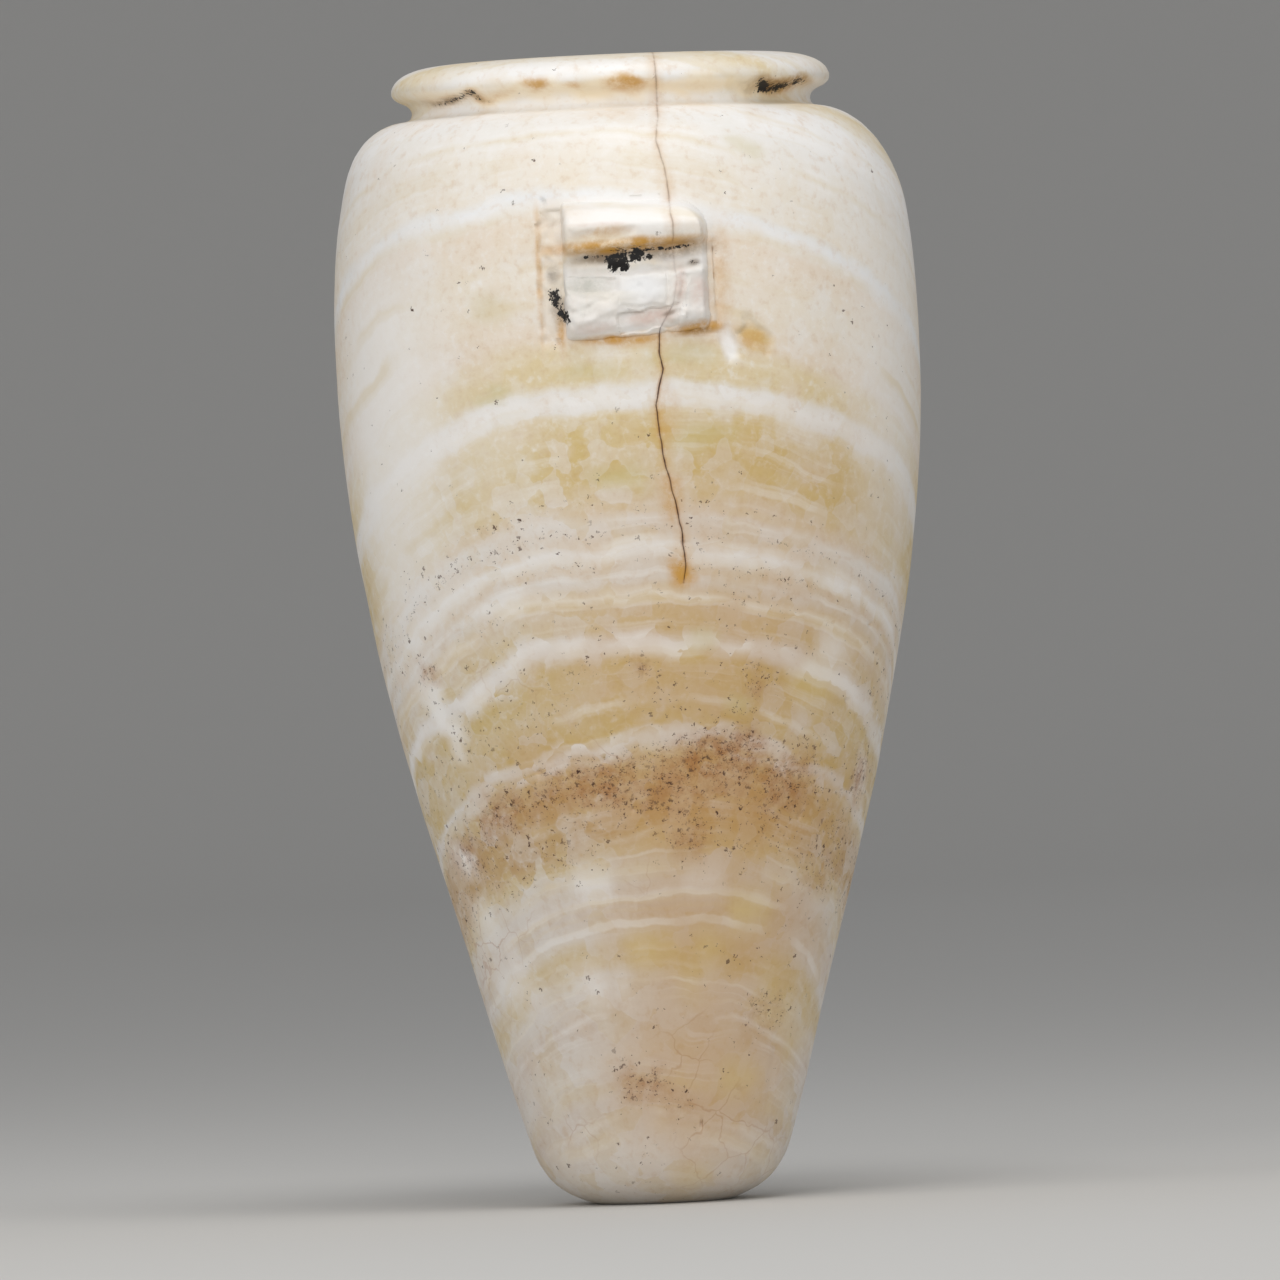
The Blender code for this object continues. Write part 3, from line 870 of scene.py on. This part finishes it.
    # thin growth lines inside the layers, clearer in some places than in others
    regions = addNode(tree, "TexNoise", {"Vector": point, "Scale": 1 / size["regions"],
                                         "Detail": 2.0})
    patch = addNode(tree, "MapRange", {"Value": regions, "From Min": 0.42, "From Max": 0.62})
    for span, low, tone, amount in ((4.0, 0.50, "chalk", 0.30), (9.0, 0.52, "honey", 0.30)):
        line = addNode(tree, "Math", {0: smoothHeight, 1: 1 / span}, operation="MULTIPLY")
        line = addNode(tree, "TexNoise", {"W": line, "Scale": 1.0, "Detail": 3.0},
                       noise_dimensions="1D")
        line = addNode(tree, "MapRange", {"Value": line, "From Min": low, "From Max": low + 0.2,
                                          "To Max": amount})
        line = addNode(tree, "Math", {0: line, 1: patch}, operation="MULTIPLY")
        look = mixColour(tree, look, colour[tone], line)

    white = makeRamp(tree, height, -60.0, 400.0, whiteLines)
    clear = addNode(tree, "MapRange", {"Value": regions, "From Min": 0.42, "From Max": 0.56,
                                       "To Min": 0.35, "To Max": 1.0})
    white = addNode(tree, "Math", {0: white, 1: clear}, operation="MULTIPLY")
    look = mixColour(tree, look, colour["chalk"], white)

    # rusty stain, broken up by a noise, and the specks of dirt in it
    grime = addNode(tree, "TexNoise", {"Vector": point, "Scale": 1 / size["grime"],
                                       "Detail": 5.0, "Roughness": 0.72})
    stain = addNode(tree, "MapRange", {"Value": grime, "From Min": 0.38, "From Max": 0.62,
                                       "To Min": 0.12, "To Max": 0.85})
    stain = addNode(tree, "Math", {0: stain, 1: masks["brown"]}, operation="MULTIPLY")
    look = mixColour(tree, look, colour["rust"], stain)
    golden = addNode(tree, "MapRange", {"Value": grime, "From Min": 0.35, "From Max": 0.6,
                                        "To Min": 0.25, "To Max": 1.0})
    gilded = addNode(tree, "Math", {0: golden, 1: masks["gold"]}, operation="MULTIPLY")
    look = mixColour(tree, look, colour["amber"], gilded)

    rows = makeRamp(tree, smoothHeight, -60.0, 400.0, speckRows)
    some = addNode(tree, "MapRange", {"Value": regions, "From Min": 0.56, "From Max": 0.44,
                                      "To Min": 0.1, "To Max": 0.6})
    density = addNode(tree, "Math", {0: rows, 1: some}, operation="MULTIPLY")
    dense = addNode(tree, "MapRange", {"Value": grime, "From Min": 0.42, "From Max": 0.58,
                                       "To Min": 0.2, "To Max": 1.3})
    dense = addNode(tree, "Math", {0: dense, 1: masks["brown"]}, operation="MULTIPLY")
    density = addNode(tree, "Math", {0: density, 1: dense}, operation="ADD")
    shake = addNode(tree, "TexNoise", {"Vector": point, "Scale": 1.3, "Detail": 1.0})
    shake = addNode(tree, "VectorMath", {0: shake.outputs["Color"], "Scale": 2.6},
                    operation="SCALE")
    shaken = addNode(tree, "VectorMath", {0: point, 1: shake}, operation="ADD")
    specks = None
    for span, edge in ((1.1, 0.36), (2.3, 0.33)):  # cell size, and how far a speck fills it
        dot = addNode(tree, "TexVoronoi", {"Vector": shaken, "Scale": 1 / span})
        luck = addNode(tree, "SeparateColor", {0: dot.outputs["Color"]})
        here = addNode(tree, "Math", {0: luck.outputs["Red"], 1: density}, operation="LESS_THAN")
        near = addNode(tree, "MapRange", {"Value": dot.outputs["Distance"], "From Min": edge,
                                          "From Max": edge * 0.6})
        dot = addNode(tree, "Math", {0: here, 1: near}, operation="MULTIPLY")
        deep = addNode(tree, "MapRange", {"Value": luck.outputs["Green"], "To Min": 0.3,
                                          "To Max": 1.0})
        dot = addNode(tree, "Math", {0: dot, 1: deep}, operation="MULTIPLY")
        specks = dot if specks is None else addNode(tree, "Math", {0: specks, 1: dot},
                                                    operation="MAXIMUM")
    look = mixColour(tree, look, colour["umber"], specks)

    # rusty hairlines along some crystal seams
    hair = addNode(tree, "TexVoronoi", {"Vector": pushed, "Scale": 1 / size["hairlines"]},
                   feature="DISTANCE_TO_EDGE")
    hair = addNode(tree, "MapRange", {"Value": hair.outputs["Distance"], "From Min": 0.022,
                                      "From Max": 0.006})
    fewer = addNode(tree, "TexNoise", {"Vector": point, "Scale": 1 / size["hairRegions"],
                                       "Detail": 1.0})
    fewer = addNode(tree, "MapRange", {"Value": fewer, "From Min": 0.53, "From Max": 0.66,
                                       "To Max": 0.3})
    hair = addNode(tree, "Math", {0: hair, 1: fewer}, operation="MULTIPLY")
    lowOnly = addNode(tree, "MapRange", {"Value": level, "From Min": 150.0, "From Max": 110.0})
    hair = addNode(tree, "Math", {0: hair, 1: lowOnly}, operation="MULTIPLY")
    look = mixColour(tree, look, colour["rust"], hair)

    # the crack and the rust that seeped from it
    low, high, span = 180.0, 341.0, 14.0  # how far the curve reaches up and across
    share = addNode(tree, "MapRange", {"Value": axis.outputs["Z"], "From Min": low,
                                       "From Max": high})
    line = addNode(tree, "FloatCurve", {"Value": share})
    bend = line.mapping.curves[0]
    path = sorted((z, x) for x, z in crackPath())
    for index, (z, x) in enumerate(path):
        spot = ((z - low) / (high - low), x / span)
        if index < 2:
            bend.points[index].location = spot
        else:
            bend.points.new(*spot)
    for spot in bend.points:
        spot.handle_type = "VECTOR"
    line.mapping.update()
    line = addNode(tree, "Math", {0: line, 1: -span, 2: axis.outputs["X"]},
                   operation="MULTIPLY_ADD")
    line = addNode(tree, "Math", {0: line}, operation="ABSOLUTE")
    front = addNode(tree, "Math", {0: axis.outputs["Y"], 1: 0.0}, operation="LESS_THAN")
    within = addNode(tree, "Math", {0: axis.outputs["Z"], 1: crack["path"][-1][0]},
                     operation="GREATER_THAN")
    front = addNode(tree, "Math", {0: front, 1: within}, operation="MULTIPLY")
    below = addNode(tree, "MapRange", {"Value": axis.outputs["Z"], "From Min": 266.0,
                                       "From Max": 254.0, "To Min": 0.3, "To Max": 1.0})
    for wide, narrow, tone, amount in (
        (3.2, 0.2, "amber", 0.3), (0.9, 0.2, "rust", 0.65), (0.34, 0.12, "umber", 0.9),
    ):
        near = addNode(tree, "MapRange", {"Value": line, "From Min": wide, "From Max": narrow,
                                          "To Max": amount})
        near = addNode(tree, "Math", {0: near, 1: front}, operation="MULTIPLY")
        near = addNode(tree, "Math", {0: near, 1: golden}, operation="MULTIPLY")
        if tone != "amber":
            near = addNode(tree, "Math", {0: near, 1: below}, operation="MULTIPLY")
        look = mixColour(tree, look, colour[tone], near)

    # fresh break: cold white crystal
    fresh = addNode(tree, "Attribute", attribute_name="freshBreak", attribute_type="GEOMETRY")
    fresh = fresh.outputs["Fac"]
    cold = addNode(tree, "Math", {0: fresh, 1: 0.55}, operation="MULTIPLY")
    look = mixColour(tree, look, colour["frost"], cold)
    for tone in ("rose", "grey"):
        veined = addNode(tree, "Math", {0: golden, 1: masks[tone]}, operation="MULTIPLY")
        look = mixColour(tree, look, colour[tone], veined)
    look = mixColour(tree, look, colour["amber"],
                     addNode(tree, "Math", {0: gilded, 1: 0.85}, operation="MULTIPLY"))

    # painted shade in the cord groove, under the lug and in the recess, with a brown halo round the crust
    # at the rim
    paintedShadeAndHaloAmount = addNode(tree, "MapRange", {"Value": grime, "From Min": 0.35, "From Max": 0.55,
                                       "To Min": 0.4, "To Max": 1.0})
    paintedShadeAndHaloAmount = addNode(tree, "Math", {0: paintedShadeAndHaloAmount, 1: masks["paintedShadeAndHalo"]}, operation="MULTIPLY")
    look = mixColour(tree, look, colour["paintedShadeAndHalo"], paintedShadeAndHaloAmount)

    # black crust, and painted shade in thin dark lines along the groove's ceiling
    crust = addNode(tree, "TexNoise", {"Vector": point, "Scale": 1 / size["crust"],
                                       "Detail": 3.0, "Roughness": 0.7})
    crust = addNode(tree, "Math", {0: crust, 1: 2.6, 2: masks["sootAndPaintedShade"]}, operation="MULTIPLY_ADD")
    crust = addNode(tree, "MapRange", {"Value": crust, "From Min": 1.72, "From Max": 1.92})
    hasBlackMark = addNode(tree, "Math", {0: masks["sootAndPaintedShade"], 1: 0.12}, operation="GREATER_THAN")
    crust = addNode(tree, "Math", {0: crust, 1: hasBlackMark}, operation="MULTIPLY")
    look = mixColour(tree, look, colour["sootAndPaintedShade"], crust)

    # satin from rubbing, duller on the break and in the dirt
    gloss = addNode(tree, "MapRange", {"Value": cloud, "To Min": 0.42, "To Max": 0.52})
    for amount in (fresh, crust.outputs[0], specks.outputs[0]):
        gloss = addNode(tree, "Math", {0: amount, 1: 0.2, 2: gloss}, operation="MULTIPLY_ADD")

    # relief too fine for the mesh: pores of 0.5 to 2 mm, drawn a little coarse to show
    relief = addNode(tree, "TexNoise", {"Vector": point, "Scale": 1 / size["pores"],
                                        "Detail": 2.0})
    bump = addNode(tree, "Bump", {"Height": relief, "Strength": 0.5, "Distance": 0.00014})

    shader = addNode(tree, "BsdfPrincipled", {
        "Base Color": look, "Roughness": gloss, "Normal": bump, "Metallic": 0.0, "IOR": 1.53,
    })
    addNode(tree, "OutputMaterial", {"Surface": shader})
    return stone


paintBlots(body)
body.data.materials.clear()
body.data.materials.append(makeTravertine())
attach(body, "root")
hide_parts("jar")
print("stone dressed")


# Stage

studio = {
    "floorColour": "#CFCDC9",
    "radius": 9000.0,
    "sweep": 3500.0,
    "wallTop": 4200.0,
    "turns": 96,
    "bendSteps": 16,
    "skyColour": "#F2F4F8",
    "skyStrength": 0.44,
}


def makeStage():
    # a round floor that turns up into a low wall, so that every view has the same backdrop
    bend = studio["sweep"]
    points = [(0, 0, 0)]
    for step in range(studio["bendSteps"] + 1):
        angle = math.pi / 2 * step / studio["bendSteps"]
        reach = studio["radius"] - bend + bend * math.sin(angle)
        points.append((reach * mm, 0, (bend - bend * math.cos(angle)) * mm))
    points.append((studio["radius"] * mm, 0, studio["wallTop"] * mm))
    sheet = newMesh("backdrop", points, [(i, i + 1) for i in range(len(points) - 1)])
    editAll(sheet)
    bpy.ops.mesh.spin(steps=studio["turns"], angle=math.tau, center=(0, 0, 0), axis=(0, 0, 1))
    bpy.ops.mesh.select_all(action="SELECT")
    bpy.ops.mesh.remove_doubles(threshold=weld)
    bpy.ops.mesh.normals_make_consistent(inside=True)
    editOff()
    workOn(sheet)
    bpy.ops.object.shade_smooth()
    paper = bpy.data.materials.new("paperBackdropMatt")
    paper.use_nodes = True
    paper.node_tree.nodes.clear()
    shader = addNode(paper.node_tree, "BsdfDiffuse", {"Color": linear(studio["floorColour"])})
    addNode(paper.node_tree, "OutputMaterial", {"Surface": shader})
    sheet.data.materials.append(paper)


lamps = (
    {"name": "softbox", "place": (-600, -2000, 850), "aim": (0, 0, 280), "size": 1700, "power": 16},
    {"name": "fill", "place": (1700, -1500, 500), "aim": (0, 0, 260), "size": 1500, "power": 10},
    {"name": "top", "place": (100, -500, 1500), "aim": (0, 0, 320), "size": 700, "power": 6.5},
    {"name": "side", "place": (-1900, -700, 800), "aim": (0, 0, 240), "size": 1300, "power": 6.5},
)


def aimed(place, aim):
    return (Vector(aim) - Vector(place)).to_track_quat("-Z", "Y")


def makeLights():
    for lamp in lamps:
        light = bpy.data.lights.new(lamp["name"], "AREA")
        light.shape = "SQUARE"
        light.size = lamp["size"] * mm
        light.energy = lamp["power"]
        holder = bpy.data.objects.new(lamp["name"], light)
        holder.location = Vector(lamp["place"]) * mm
        holder.rotation_euler = aimed(lamp["place"], lamp["aim"]).to_euler()
        bpy.context.collection.objects.link(holder)
    world = bpy.data.worlds.new("studio")
    world.use_nodes = True
    sky = world.node_tree.nodes["Background"].inputs
    sky["Color"].default_value = linear(studio["skyColour"])
    sky["Strength"].default_value = studio["skyStrength"]
    bpy.context.scene.world = world


camera = {
    "side": -2.9,  # degrees round from straight in front, to the left
    "distance": 4470.0,
    "height": 167.2,
    "frameWidth": 381.2,
    "roll": -2.45,
    "sensor": 36.0,
}


def makeCamera():
    side = math.radians(camera["side"])
    aim = Vector((0, 0, camera["height"]))
    place = aim + Vector((math.sin(side), -math.cos(side), 0)) * camera["distance"]
    lens = bpy.data.cameras.new("camera")
    lens.sensor_width = camera["sensor"]
    lens.lens = camera["sensor"] * camera["distance"] / camera["frameWidth"]
    holder = bpy.data.objects.new("camera", lens)
    turn = aimed(place, aim).to_matrix().to_4x4()
    holder.matrix_world = Matrix.Translation(place * mm) @ turn @ Matrix.Rotation(
        math.radians(camera["roll"]), 4, "Z"
    )
    bpy.context.collection.objects.link(holder)
    bpy.context.scene.camera = holder


makeStage()
makeLights()
makeCamera()
bpy.context.scene.view_settings.view_transform = "Standard"
print("stage set")
